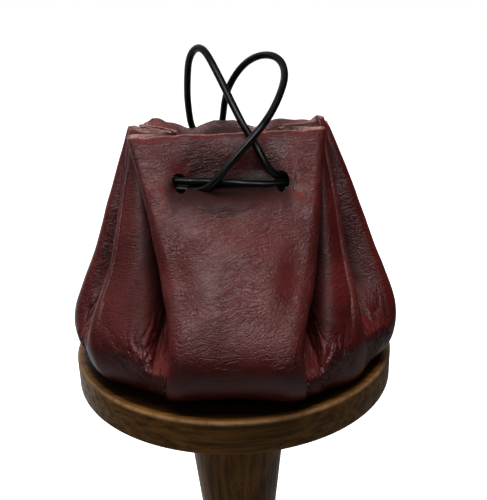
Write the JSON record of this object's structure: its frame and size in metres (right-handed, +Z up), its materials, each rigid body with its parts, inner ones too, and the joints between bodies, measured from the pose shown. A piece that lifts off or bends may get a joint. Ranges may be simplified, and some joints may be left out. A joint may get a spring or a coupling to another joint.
{
  "type": "leather drawstring pouch on a turned wooden stand",
  "caption": "Soft pleated leather pouch with a round belly, drawn shut at its flattened mouth by a thin cord with two loops, standing on a round turned wooden pedestal.",
  "frame": {"origin": "centre of the stand's underside, where it stands on a table", "axes": "+Z up, -Y towards the pouch's front panel, +X to the right as seen from the front"},
  "size_m": [0.096, 0.096, 0.2051],
  "materials": {
    "wood": "dark stained hardwood, satin oil, worn paler along the plate's edge",
    "leather": "burgundy grain leather, satin, with a paler suede inside and cut edge",
    "cord": "black round leather cord, slightly shiny"
  },
  "bodies": {
    "root": {"stand_foot": "wood", "stand_stem": "wood", "stand_plate": "wood", "pouch_leather": "leather", "drawstring_front_span": "cord", "drawstring_back_span": "cord", "drawstring_right_loop": "cord", "drawstring_left_loop": "cord"}
  },
  "joints": []
}
